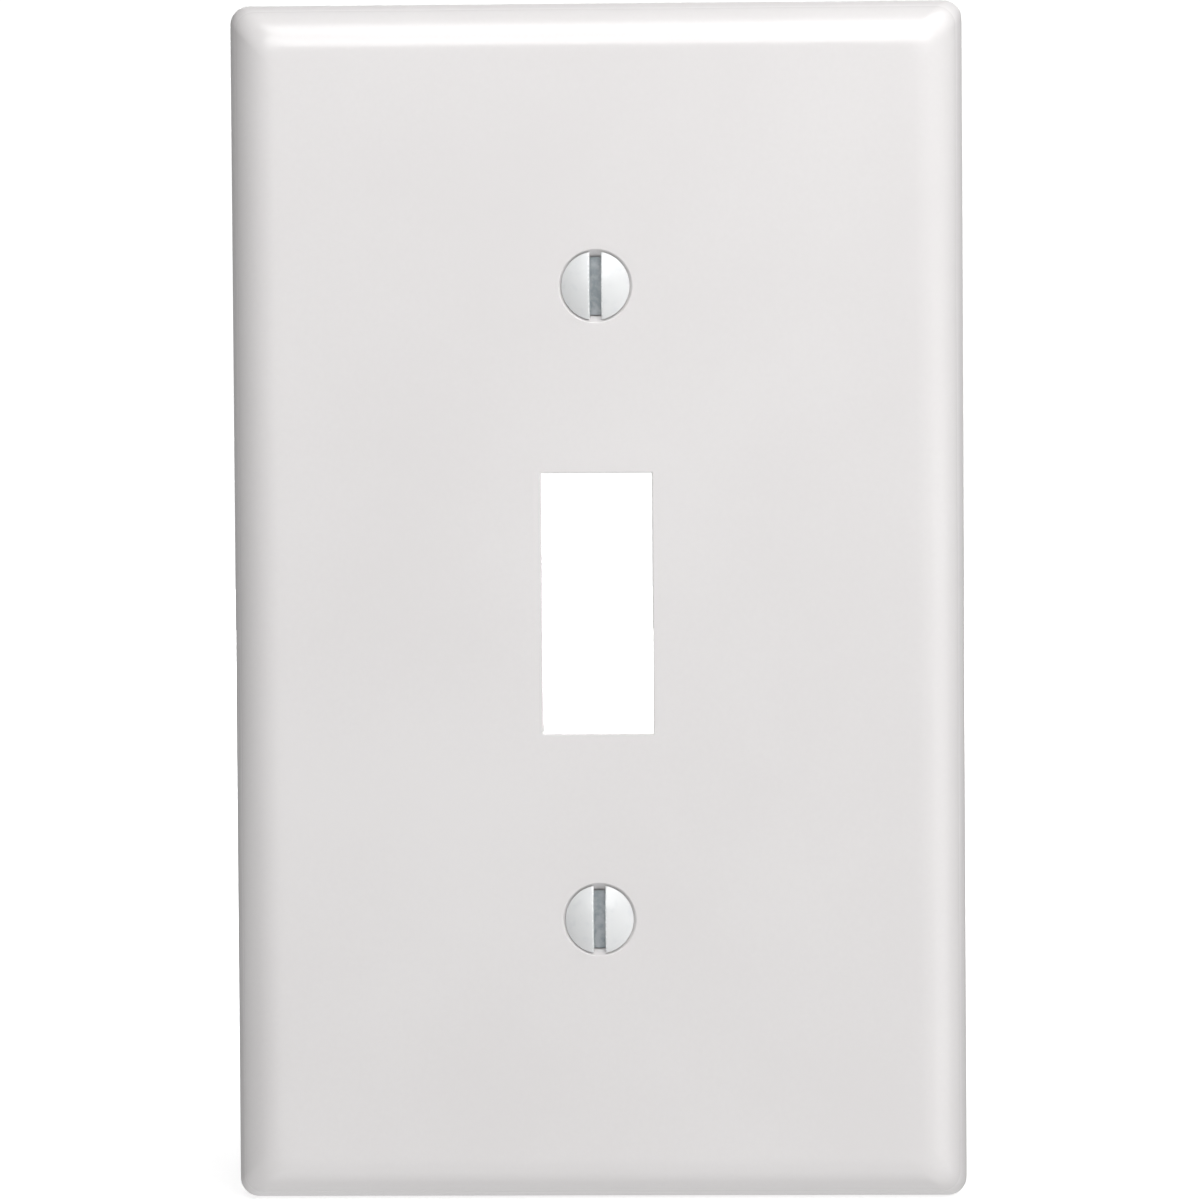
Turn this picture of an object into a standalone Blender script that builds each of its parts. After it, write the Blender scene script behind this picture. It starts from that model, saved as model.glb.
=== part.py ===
"""Single-gang toggle wall plate cover with its two slotted oval-head screws.

Runs in Blender 4.5: blender --background --python part.py. Metres, +Z up.

The plate stands upright, as it does on a wall. X is its width, Z its height, and its front
faces -Y. The wall plane is y = 0, where the plate's rim rests, and the origin is the centre
of the toggle opening in that plane.
"""

import math

import bmesh
import bpy

ASSEMBLY = "wall_plate_cover"

# Plate: a shallow tray with rounded edges, open at the back.
PLATE_WIDTH = 0.06985
PLATE_HEIGHT = 0.1143
PLATE_DEPTH = 0.0056
CORNER_RADIUS = 0.0018
FACE_WALL = 0.0022
RIM_WALL = 0.0021
EDGE_LAND = 0.0012
EDGE_ROUND_WIDTH = 0.0046
CAVITY_CORNER_RADIUS = 0.0005

# Opening for the switch's toggle, with softened front edges.
OPENING_WIDTH = 0.0108
OPENING_HEIGHT = 0.0251
OPENING_EDGE_RADIUS = 0.00015

# Stiffening on the back of the face.
COLLAR_WALL = 0.0016
COLLAR_HEIGHT = 0.0012
BOSS_WALL = 0.0013
BOSS_HEIGHT = 0.0014
RIB_WIDTH = 0.0012
RIB_HEIGHT = 0.0009
RIB_SPACING = 0.0062
EMBED = 0.0006

# Screws: No. 6 oval head, 32 threads per inch.
SCREW_SPACING = 0.060325
SCREW_LENGTH = 0.0127
HEAD_DIAMETER = 0.0065
HEAD_CONE_ANGLE = math.radians(82.0)
DOME_HEIGHT = 0.0010
SLOT_WIDTH = 0.00115
SLOT_DEPTH = 0.0016
THREAD_DIAMETER = 0.003505
THREAD_PITCH = 0.00079375
THREAD_DEPTH_PER_PITCH = 0.6134
CREST_PER_PITCH = 0.125
TIP_CHAMFER = 0.0005

# Clearances between the screws and the plate.
SEAT_GAP = 0.0003
HOLE_CLEARANCE = 0.0003

# Fineness of the curved faces.
CORNER_STEPS = 6
EDGE_STEPS = 9
CAVITY_STEPS = 5
OPENING_EDGE_STEPS = 3
ROUND_STEPS = 32
DOME_STEPS = 6
THREAD_STEPS = 16

MERGE_DISTANCE = 0.00001
WELD_DISTANCE = 0.000002
OVERSHOOT = 0.001

# Colours are linear RGB.
PLASTIC_COLOUR = (0.80, 0.79, 0.78)
PAINT_COLOUR = (0.80, 0.82, 0.83)


def clear_scene():
    """Remove every object and the empty collections left from before."""
    for scene_object in list(bpy.data.objects):
        bpy.data.objects.remove(scene_object, do_unlink=True)
    for collection in list(bpy.data.collections):
        bpy.data.collections.remove(collection)


def new_collection(name):
    """Return a new collection linked to the scene."""
    collection = bpy.data.collections.new(name)
    bpy.context.scene.collection.children.link(collection)
    return collection


def new_material(name, colour, roughness):
    """Return a Principled material for a non-metallic finish."""
    material = bpy.data.materials.new(name)
    material.use_nodes = True
    shader = material.node_tree.nodes["Principled BSDF"]
    shader.inputs["Base Color"].default_value = (*colour, 1.0)
    shader.inputs["Roughness"].default_value = roughness
    shader.inputs["Metallic"].default_value = 0.0
    return material


def new_object(name, shape, collection):
    """Link a bmesh to the collection as a mesh object, and free the bmesh."""
    mesh = bpy.data.meshes.new(name)
    shape.to_mesh(mesh)
    shape.free()
    made = bpy.data.objects.new(name, mesh)
    collection.objects.link(made)
    return made


def mark_as_tool(tool):
    """Show an object that only cuts or adds to another one as a wire."""
    tool.display_type = "WIRE"
    tool.hide_render = True


def combine(target, tool, operation):
    """Add a Boolean modifier to the target, with the tool as its operand."""
    modifier = target.modifiers.new(tool.name, "BOOLEAN")
    modifier.operation = operation
    modifier.object = tool
    modifier.solver = "EXACT"


def weld(target):
    """Merge the corners that the cuts left in the same place."""
    modifier = target.modifiers.new("weld", "WELD")
    modifier.merge_threshold = WELD_DISTANCE


def box(name, size, centre, collection):
    """Return a box with the given full sizes and centre, at an unscaled origin."""
    shape = bmesh.new()
    bmesh.ops.create_cube(shape, size=1.0)
    bmesh.ops.scale(shape, vec=size, verts=shape.verts)
    bmesh.ops.translate(shape, vec=centre, verts=shape.verts)
    return new_object(name, shape, collection)


def rounded_rectangle(half_width, half_height, radius, steps):
    """Return the (x, z) points of a rounded rectangle, anticlockwise from the right side."""
    if radius <= 0.0:
        return [
            (half_width, half_height),
            (-half_width, half_height),
            (-half_width, -half_height),
            (half_width, -half_height),
        ]
    points = []
    corners = ((1, 1), (-1, 1), (-1, -1), (1, -1))
    for quarter, (side_x, side_z) in enumerate(corners):
        centre_x = side_x * (half_width - radius)
        centre_z = side_z * (half_height - radius)
        for step in range(steps + 1):
            angle = (quarter + step / steps) * math.pi / 2.0
            x = centre_x + radius * math.cos(angle)
            z = centre_z + radius * math.sin(angle)
            points.append((x, z))
    return points


def lofted_solid(name, sections, steps, collection):
    """Return a closed loft through rounded rectangles, given front to back.

    Each section is (y, half width, half height, corner radius).
    """
    shape = bmesh.new()
    rings = []
    for y, half_width, half_height, radius in sections:
        outline = rounded_rectangle(half_width, half_height, radius, steps)
        rings.append([shape.verts.new((x, y, z)) for x, z in outline])
    for front, back in zip(rings, rings[1:]):
        for index in range(len(front)):
            following = (index + 1) % len(front)
            shape.faces.new((front[index], back[index], back[following], front[following]))
    shape.faces.new(rings[0])
    shape.faces.new(list(reversed(rings[-1])))
    bmesh.ops.recalc_face_normals(shape, faces=shape.faces)
    made = new_object(name, shape, collection)
    made.data.shade_smooth()
    made.data.set_sharp_from_angle(angle=math.radians(35.0))
    return made


def turned_solid(name, profile, steps, collection):
    """Return a solid turned about Z from (radius, z) points, given from top to bottom."""
    shape = bmesh.new()
    points = [shape.verts.new((radius, 0.0, z)) for radius, z in profile]
    for upper, lower in zip(points, points[1:]):
        shape.edges.new((upper, lower))
    made = new_object(name, shape, collection)
    turn = made.modifiers.new("turn", "SCREW")
    turn.steps = steps
    turn.render_steps = steps
    turn.use_merge_vertices = True
    turn.merge_threshold = MERGE_DISTANCE
    turn.use_smooth_shade = True
    return made


def face_front():
    """Return the plane of the plate's flat front."""
    return -PLATE_DEPTH


def face_back():
    """Return the plane of the recess's floor, the back of the face."""
    return FACE_WALL - PLATE_DEPTH


def edge_sections(wall, radius, steps):
    """Return the loft sections of the plate's edge, offset inwards by a wall.

    With no wall they give the outside, from the flat front to the rim. The face wall and the
    rim wall give the recess, which follows the same rounded edge.
    """
    face_wall, rim_wall = wall
    round_width = EDGE_ROUND_WIDTH - rim_wall
    round_depth = PLATE_DEPTH - EDGE_LAND - face_wall
    sections = []
    for step in range(steps + 1):
        angle = step / steps * math.pi / 2.0
        inset = rim_wall + round_width * (1.0 - math.sin(angle))
        y = -EDGE_LAND - round_depth * math.cos(angle)
        sections.append((y, PLATE_WIDTH / 2.0 - inset, PLATE_HEIGHT / 2.0 - inset, radius))
    return sections


def plate_body(collection):
    """Return the plate's outer form, solid so far."""
    sections = edge_sections((0.0, 0.0), CORNER_RADIUS, EDGE_STEPS)
    sections.append((0.0, PLATE_WIDTH / 2.0, PLATE_HEIGHT / 2.0, CORNER_RADIUS))
    return lofted_solid("cover_plate", sections, CORNER_STEPS, collection)


def recess_cutter(collection):
    """Return the recess at the back, which leaves the face wall and the rim."""
    sections = edge_sections((FACE_WALL, RIM_WALL), CAVITY_CORNER_RADIUS, CAVITY_STEPS)
    half_width = PLATE_WIDTH / 2.0 - RIM_WALL
    half_height = PLATE_HEIGHT / 2.0 - RIM_WALL
    sections.append((OVERSHOOT, half_width, half_height, CAVITY_CORNER_RADIUS))
    return lofted_solid("recess_cutter", sections, CORNER_STEPS, collection)


def opening_cutter(collection):
    """Return the toggle opening, which flares over its rounded front edges."""
    sections = [(face_front() - OVERSHOOT, OPENING_WIDTH / 2.0, OPENING_HEIGHT / 2.0, 0.0)]
    for step in range(OPENING_EDGE_STEPS + 1):
        angle = step / OPENING_EDGE_STEPS * math.pi / 2.0
        inset = OPENING_EDGE_RADIUS * math.sin(angle)
        y = face_front() + OPENING_EDGE_RADIUS * (1.0 - math.cos(angle))
        sections.append((y, OPENING_WIDTH / 2.0 - inset, OPENING_HEIGHT / 2.0 - inset, 0.0))
    narrow = OPENING_EDGE_RADIUS
    sections.append((OVERSHOOT, OPENING_WIDTH / 2.0 - narrow, OPENING_HEIGHT / 2.0 - narrow, 0.0))
    return lofted_solid("opening_cutter", sections, 1, collection)


def collar(collection):
    """Return the low wall behind the face around the toggle opening."""
    depth = EMBED + COLLAR_HEIGHT
    size = (OPENING_WIDTH + 2.0 * COLLAR_WALL, depth, OPENING_HEIGHT + 2.0 * COLLAR_WALL)
    centre = (0.0, face_back() - EMBED + depth / 2.0, 0.0)
    return box("opening_collar", size, centre, collection)


def head_seat_radius():
    """Return the radius of the countersink in the plane of the plate's front."""
    return HEAD_DIAMETER / 2.0 + SEAT_GAP * math.tan(HEAD_CONE_ANGLE / 2.0)


def screw_hole_radius():
    """Return the radius of the clear hole below the countersink."""
    return THREAD_DIAMETER / 2.0 + HOLE_CLEARANCE


def place_at_screw(piece, parent, height):
    """Stand a piece that was turned about Z on a screw's axis, its +Z towards the front."""
    piece.parent = parent
    piece.location = (0.0, face_front(), height)
    piece.rotation_euler = (math.pi / 2.0, 0.0, 0.0)


def boss(name, collection):
    """Return the round boss behind a screw hole, about Z, with z = 0 on the plate's front."""
    radius = head_seat_radius() + BOSS_WALL
    top = -FACE_WALL + EMBED
    bottom = -FACE_WALL - BOSS_HEIGHT
    profile = [(0.0, top), (radius, top), (radius, bottom), (0.0, bottom)]
    return turned_solid(name, profile, ROUND_STEPS, collection)


def countersink_cutter(name, collection):
    """Return a screw's countersunk hole, about Z, with z = 0 on the plate's front."""
    slope = math.tan(HEAD_CONE_ANGLE / 2.0)
    mouth = head_seat_radius()
    hole = screw_hole_radius()
    profile = [
        (0.0, OVERSHOOT),
        (mouth + OVERSHOOT * slope, OVERSHOOT),
        (hole, (hole - mouth) / slope),
        (hole, -PLATE_DEPTH - OVERSHOOT),
        (0.0, -PLATE_DEPTH - OVERSHOOT),
    ]
    return turned_solid(name, profile, ROUND_STEPS, collection)


def ribs(side, collection):
    """Return the two ribs that tie a screw's boss to the collar, above or below the opening."""
    start = OPENING_HEIGHT / 2.0 + COLLAR_WALL / 2.0
    end = SCREW_SPACING / 2.0
    depth = EMBED + RIB_HEIGHT
    made = []
    for hand in (-1, 1):
        size = (RIB_WIDTH, depth, end - start)
        centre = (
            hand * RIB_SPACING / 2.0,
            face_back() - EMBED + depth / 2.0,
            side * (start + end) / 2.0,
        )
        made.append(box(f"rib_{hand}_{side}", size, centre, collection))
    return made


def build_plate(parts, tools):
    """Return the moulded plate: a hollow tray with its opening, bosses, ribs and screw holes."""
    plate = plate_body(parts)
    recess = recess_cutter(tools)
    opening = opening_cutter(tools)
    frame = collar(tools)
    combine(plate, recess, "DIFFERENCE")
    combine(plate, frame, "UNION")
    added = [recess, opening, frame]
    holes = []
    for side in (1, -1):
        height = side * SCREW_SPACING / 2.0
        pad = boss(f"boss_{side}", tools)
        hole = countersink_cutter(f"screw_hole_{side}", tools)
        place_at_screw(pad, plate, height)
        place_at_screw(hole, plate, height)
        for rib in ribs(side, tools):
            combine(plate, rib, "UNION")
            added.append(rib)
        combine(plate, pad, "UNION")
        added.extend((pad, hole))
        holes.append(hole)
    for cutter in (opening, *holes):
        combine(plate, cutter, "DIFFERENCE")
    weld(plate)
    for tool in added:
        tool.parent = plate
        mark_as_tool(tool)
    return plate


def cone_height_at(radius):
    """Return the height at which the head's cone has a radius, below the rim at z = 0."""
    return (radius - HEAD_DIAMETER / 2.0) / math.tan(HEAD_CONE_ANGLE / 2.0)


def thread_root_radius():
    """Return the radius of the shank between its threads."""
    return THREAD_DIAMETER / 2.0 - THREAD_DEPTH_PER_PITCH * THREAD_PITCH


def head_profile():
    """Return the oval head's profile: a spherical dome, the rim, and the cone under it."""
    rim = HEAD_DIAMETER / 2.0
    ball = (rim * rim + DOME_HEIGHT * DOME_HEIGHT) / (2.0 * DOME_HEIGHT)
    sweep = math.asin(rim / ball)
    profile = []
    for step in range(DOME_STEPS + 1):
        angle = sweep * step / DOME_STEPS
        profile.append((ball * math.sin(angle), DOME_HEIGHT - ball * (1.0 - math.cos(angle))))
    neck = thread_root_radius() * 0.8
    profile.append((neck, cone_height_at(neck)))
    profile.append((0.0, cone_height_at(neck)))
    return profile


def thread_top():
    """Return where the thread starts, inside the head between the slot's floor and the cone's end."""
    slot_floor = DOME_HEIGHT - SLOT_DEPTH
    cone_end = cone_height_at(THREAD_DIAMETER / 2.0)
    return (slot_floor + cone_end) / 2.0


def thread_pitch_profile():
    """Return one pitch of the 60 degree thread as (radius, z) points, from top to bottom."""
    root = thread_root_radius()
    crest = THREAD_DIAMETER / 2.0
    flank = (crest - root) * math.tan(math.radians(30.0))
    crest_flat = CREST_PER_PITCH * THREAD_PITCH
    return [
        (root, THREAD_PITCH),
        (root, 2.0 * flank + crest_flat),
        (crest, flank + crest_flat),
        (crest, flank),
        (root, 0.0),
    ]


def close_end(shape, edges):
    """Close a ring of boundary edges with a fan of faces from a point on the axis."""
    heights = [edge.verts[0].co.z for edge in edges]
    hub = shape.verts.new((0.0, 0.0, sum(heights) / len(heights)))
    for edge in edges:
        shape.faces.new((*edge.verts, hub))


def threaded_rod(name, collection):
    """Return a right-hand threaded rod about Z, a pitch too long at both ends."""
    turns = math.ceil((thread_top() + SCREW_LENGTH) / THREAD_PITCH) + 2
    coil = turned_solid(name + "_coil", thread_pitch_profile(), THREAD_STEPS, collection)
    coil.modifiers["turn"].screw_offset = THREAD_PITCH
    coil.modifiers["turn"].iterations = turns
    evaluated = coil.evaluated_get(bpy.context.evaluated_depsgraph_get())
    shape = bmesh.new()
    shape.from_mesh(bpy.data.meshes.new_from_object(evaluated))
    bpy.data.objects.remove(coil, do_unlink=True)
    bmesh.ops.remove_doubles(shape, verts=shape.verts, dist=MERGE_DISTANCE)
    open_edges = [edge for edge in shape.edges if edge.is_boundary]
    middle = turns * THREAD_PITCH / 2.0
    close_end(shape, [edge for edge in open_edges if edge.verts[0].co.z < middle])
    close_end(shape, [edge for edge in open_edges if edge.verts[0].co.z > middle])
    bmesh.ops.recalc_face_normals(shape, faces=shape.faces)
    bmesh.ops.translate(shape, vec=(0.0, 0.0, -SCREW_LENGTH - THREAD_PITCH), verts=shape.verts)
    return new_object(name, shape, collection)


def rod_trimmer(name, collection):
    """Return the space that the threaded rod fills, with the chamfer of its tip."""
    radius = THREAD_DIAMETER / 2.0 + TIP_CHAMFER / 4.0
    profile = [
        (0.0, thread_top()),
        (radius, thread_top()),
        (radius, -SCREW_LENGTH + TIP_CHAMFER),
        (radius - TIP_CHAMFER, -SCREW_LENGTH),
        (0.0, -SCREW_LENGTH),
    ]
    return turned_solid(name, profile, ROUND_STEPS, collection)


def slot_cutter(name, collection):
    """Return the driver slot, along Y, which is upright once the screw is in the plate."""
    depth = SLOT_DEPTH + OVERSHOOT
    size = (SLOT_WIDTH, HEAD_DIAMETER + 2.0 * OVERSHOOT, depth)
    centre = (0.0, 0.0, DOME_HEIGHT - SLOT_DEPTH + depth / 2.0)
    return box(name, size, centre, collection)


def build_screw(name, side, plate, parts, tools):
    """Return a screw in its hole, with its origin on its axis in the plane of its rim."""
    screw = turned_solid(name, head_profile(), ROUND_STEPS, parts)
    rod = threaded_rod(name + "_rod", tools)
    trimmer = rod_trimmer(name + "_trimmer", tools)
    slot = slot_cutter(name + "_slot", tools)
    combine(rod, trimmer, "INTERSECT")
    combine(screw, rod, "UNION")
    combine(screw, slot, "DIFFERENCE")
    weld(screw)
    for tool in (rod, trimmer, slot):
        tool.parent = screw
        mark_as_tool(tool)
    place_at_screw(screw, plate, side * SCREW_SPACING / 2.0)
    return screw


def build_assembly():
    """Build the plate and its two screws."""
    clear_scene()
    parts = new_collection(ASSEMBLY)
    tools = new_collection("cutters")
    plate = build_plate(parts, tools)
    plate.data.materials.append(new_material("white_moulded_plastic", PLASTIC_COLOUR, 0.22))
    for name, side in (("upper_screw", 1), ("lower_screw", -1)):
        screw = build_screw(name, side, plate, parts, tools)
        screw.data.materials.append(new_material(name + "_white_paint", PAINT_COLOUR, 0.25))


build_assembly()
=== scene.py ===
"""Looks of a single-gang toggle wall plate cover and its two oval-head screws.

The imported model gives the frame: X is the plate's width, Z its height, and the front faces -Y.
Every finished piece keeps its place in its mesh, in metres.
"""

from __future__ import annotations

import logging
import math
from dataclasses import dataclass, field
from enum import Enum
from typing import Any

import bmesh
import bpy
from mathutils import Matrix, Quaternion, Vector

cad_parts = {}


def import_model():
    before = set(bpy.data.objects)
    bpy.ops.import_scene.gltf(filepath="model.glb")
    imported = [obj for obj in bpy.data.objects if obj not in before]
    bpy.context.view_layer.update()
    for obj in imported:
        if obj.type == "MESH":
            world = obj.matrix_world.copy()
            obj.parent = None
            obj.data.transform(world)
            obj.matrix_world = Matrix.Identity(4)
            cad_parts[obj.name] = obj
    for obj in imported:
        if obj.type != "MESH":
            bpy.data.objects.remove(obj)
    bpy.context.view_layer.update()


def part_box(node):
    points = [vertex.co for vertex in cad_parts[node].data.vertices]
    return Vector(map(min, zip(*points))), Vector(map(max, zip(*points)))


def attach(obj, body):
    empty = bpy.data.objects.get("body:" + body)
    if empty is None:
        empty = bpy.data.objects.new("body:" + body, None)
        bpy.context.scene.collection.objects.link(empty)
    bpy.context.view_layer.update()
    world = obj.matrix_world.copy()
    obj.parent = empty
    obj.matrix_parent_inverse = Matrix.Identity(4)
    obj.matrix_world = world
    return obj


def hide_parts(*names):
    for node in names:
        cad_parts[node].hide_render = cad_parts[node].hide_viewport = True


LOG = logging.getLogger("wall_plate_cover")
MM = 0.001
INCH = 0.0254
MERGE = 1.0e-7
SHARP_ANGLE = math.radians(38.0)
Profile = list[tuple[float, float, float]]
Colour = tuple[float, float, float, float]


class Side(Enum):
    """The two ends of the plate, with the direction in which each lies from the centre."""

    UPPER = 1
    LOWER = -1

    @property
    def node(self) -> str:
        """Name of the screw on this side, as a node and as a body."""
        return f"{self.name.lower()}_screw"


class Graph:
    """A node tree written in code, for a material, the world or a shape."""

    def __init__(self, tree: bpy.types.NodeTree) -> None:
        """Start with an empty tree.

        Args:
            tree: The node tree to fill.
        """
        self.tree = tree
        tree.nodes.clear()

    def node(
        self,
        kind: str,
        settings: dict[str, Any] | None = None,
        inputs: dict[str | int, Any] | None = None,
    ) -> bpy.types.Node:
        """Add a node, its settings first and then its sockets.

        Args:
            kind: The node's type.
            settings: Properties to set.
            inputs: Values or wires, by the socket's name or number.

        Returns:
            The new node.
        """
        made = self.tree.nodes.new(kind)
        for name, value in (settings or {}).items():
            setattr(made, name, value)
        for key, value in (inputs or {}).items():
            socket = made.inputs[key]
            if isinstance(value, Wire):
                self.tree.links.new(value.socket, socket)
            else:
                socket.default_value = value
        return made

    def wire(
        self,
        kind: str,
        settings: dict[str, Any] | None = None,
        inputs: dict[str | int, Any] | None = None,
        output: str | int = 0,
    ) -> Wire:
        """Add a node and return one of its outputs, ready for arithmetic.

        Args:
            kind: The node's type.
            settings: As for node.
            inputs: As for node.
            output: The output's name or number.

        Returns:
            The output as a wire.
        """
        made = self.node(kind, settings, inputs)
        return Wire(self, made.outputs[output])


@dataclass(frozen=True)
class Wire:
    """A number that a node puts out, which takes part in Python arithmetic."""

    graph: Graph
    socket: bpy.types.NodeSocket

    def _math(self, operation: str, *operands: Wire | float) -> Wire:
        """Add a Math node for one operation.

        Args:
            operation: The Math node's operation.
            operands: Its inputs in order.

        Returns:
            The result.
        """
        inputs = dict(enumerate(operands))
        return self.graph.wire("ShaderNodeMath", {"operation": operation}, inputs)

    def __add__(self, other: Wire | float) -> Wire:
        """Return the sum."""
        return self._math("ADD", self, other)

    def __sub__(self, other: Wire | float) -> Wire:
        """Return the difference."""
        return self._math("SUBTRACT", self, other)

    def __rsub__(self, other: float) -> Wire:
        """Return a plain number less this."""
        return self._math("SUBTRACT", other, self)

    def __mul__(self, other: Wire | float) -> Wire:
        """Return the product."""
        return self._math("MULTIPLY", self, other)

    def __truediv__(self, other: Wire | float) -> Wire:
        """Return the quotient."""
        return self._math("DIVIDE", self, other)

    def __mod__(self, other: float) -> Wire:
        """Return the remainder."""
        return self._math("FLOORED_MODULO", self, other)

    def floor(self) -> Wire:
        """Return the whole number below."""
        return self._math("FLOOR", self)

    def sign(self) -> Wire:
        """Return 1 or -1."""
        return self._math("SIGN", self)

    def cosine(self) -> Wire:
        """Return the cosine."""
        return self._math("COSINE", self)

    def sine(self) -> Wire:
        """Return the sine."""
        return self._math("SINE", self)

    def absolute(self) -> Wire:
        """Return the absolute value."""
        return self._math("ABSOLUTE", self)

    def at_least(self, other: Wire | float) -> Wire:
        """Return the larger of the two."""
        return self._math("MAXIMUM", self, other)

    def at_most(self, other: Wire | float) -> Wire:
        """Return the smaller of the two."""
        return self._math("MINIMUM", self, other)

    def ramp(self, start: float, end: float, low: float = 0.0, high: float = 1.0) -> Wire:
        """Return a smooth step between two values of this number.

        Args:
            start: Where the step begins.
            end: Where the step ends.
            low: The result up to the start.
            high: The result from the end on.

        Returns:
            The eased result.
        """
        settings = {"interpolation_type": "SMOOTHSTEP"}
        inputs = {"Value": self, "From Min": start, "From Max": end, "To Min": low, "To Max": high}
        return self.graph.wire("ShaderNodeMapRange", settings, inputs)


class ShapeTree:
    """A Geometry Nodes tree with named inputs, which ends in Realize Instances and Set Material."""

    def __init__(self, name: str, sizes: dict[str, str]) -> None:
        """Make the tree and its interface.

        Args:
            name: The tree's name.
            sizes: Each input's name and socket type, after the geometry.
        """
        self.group = bpy.data.node_groups.new(name, "GeometryNodeTree")
        face = self.group.interface
        face.new_socket("Geometry", in_out="INPUT", socket_type="NodeSocketGeometry")
        for label, kind in sizes.items():
            face.new_socket(label, in_out="INPUT", socket_type=kind)
        face.new_socket("Material", in_out="INPUT", socket_type="NodeSocketMaterial")
        face.new_socket("Geometry", in_out="OUTPUT", socket_type="NodeSocketGeometry")
        self.graph = Graph(self.group)
        self.inlet = self.graph.node("NodeGroupInput")

    def size(self, label: str) -> Wire:
        """Return one of the tree's inputs."""
        return Wire(self.graph, self.inlet.outputs[label])

    def end(self, shape: Wire) -> None:
        """Merge the seams, realize what is instanced, set the material and put it out.

        Args:
            shape: The geometry that the tree has made.
        """
        merged = self.graph.wire(
            "GeometryNodeMergeByDistance", None, {"Geometry": shape, "Distance": MERGE}
        )
        smooth = self.graph.wire("GeometryNodeSetShadeSmooth", None, {"Geometry": merged})
        real = self.graph.wire("GeometryNodeRealizeInstances", None, {"Geometry": smooth})
        dressed = self.graph.wire(
            "GeometryNodeSetMaterial", None, {"Geometry": real, "Material": self.size("Material")}
        )
        self.graph.node("NodeGroupOutput", None, {"Geometry": dressed})

    def run(self, name: str, start: bpy.types.Mesh, values: dict[str, Any]) -> bpy.types.Mesh:
        """Evaluate the tree on a mesh.

        Args:
            name: The resulting mesh's name.
            start: The mesh that the tree begins with.
            values: A value for each of the tree's inputs, by name.

        Returns:
            The plain mesh that the tree makes.
        """
        carrier = bpy.data.objects.new(name, start)
        bpy.context.scene.collection.objects.link(carrier)
        modifier = carrier.modifiers.new("shape", "NODES")
        modifier.node_group = self.group
        for item in self.group.interface.items_tree:
            if item.in_out == "INPUT" and item.name in values:
                modifier[item.identifier] = values[item.name]
        evaluated = carrier.evaluated_get(bpy.context.evaluated_depsgraph_get())
        mesh = bpy.data.meshes.new_from_object(evaluated)
        mesh.name = name
        bpy.data.objects.remove(carrier, do_unlink=True)
        return mesh


def outline_sweep() -> ShapeTree:
    """Build the tree that carries a profile round a rounded rectangle.

    The profile is a line of points (inset, y, corner radius). Where the corner radius is half
    the width and height, the outline is a circle, so the tree also turns round pieces.

    Returns:
        The tree, with the inputs Width, Height and Corner Steps.
    """
    sizes = {"Width": "NodeSocketFloat", "Height": "NodeSocketFloat", "Corner Steps": "NodeSocketInt"}
    tree = ShapeTree("outline_sweep", sizes)
    graph = tree.graph
    start = tree.size("Geometry")
    rings = graph.wire(
        "GeometryNodeAttributeDomainSize", {"component": "MESH"}, {"Geometry": start}
    )
    quarter_points = tree.size("Corner Steps") + 1.0
    around = quarter_points * 4.0 + 1.0
    grid = graph.wire(
        "GeometryNodeMeshGrid", None, {"Vertices X": rings, "Vertices Y": around}
    )
    index = graph.wire("GeometryNodeInputIndex")
    place = index % around
    ring = ((index - place) / around + 0.5).floor()
    position = graph.wire("GeometryNodeInputPosition")
    sampled = graph.wire(
        "GeometryNodeSampleIndex",
        {"data_type": "FLOAT_VECTOR", "domain": "POINT"},
        {"Geometry": start, "Value": position, "Index": ring},
    )
    parts = graph.node("ShaderNodeSeparateXYZ", None, {"Vector": sampled})
    inset, depth, radius = (Wire(graph, output) for output in parts.outputs)
    step = place % quarter_points
    quarter = ((place - step) / quarter_points + 0.5).floor()
    right_angle = math.pi / 2.0
    turn = (quarter + step / tree.size("Corner Steps")) * right_angle
    diagonal = quarter * right_angle + right_angle / 2.0
    side_x = diagonal.cosine().sign()
    side_z = diagonal.sine().sign()
    x = side_x * (tree.size("Width") / 2.0 - inset - radius) + radius * turn.cosine()
    z = side_z * (tree.size("Height") / 2.0 - inset - radius) + radius * turn.sine()
    spot = graph.wire("ShaderNodeCombineXYZ", None, {"X": x, "Y": depth, "Z": z})
    tree.end(graph.wire("GeometryNodeSetPosition", None, {"Geometry": grid, "Position": spot}))
    return tree


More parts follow.
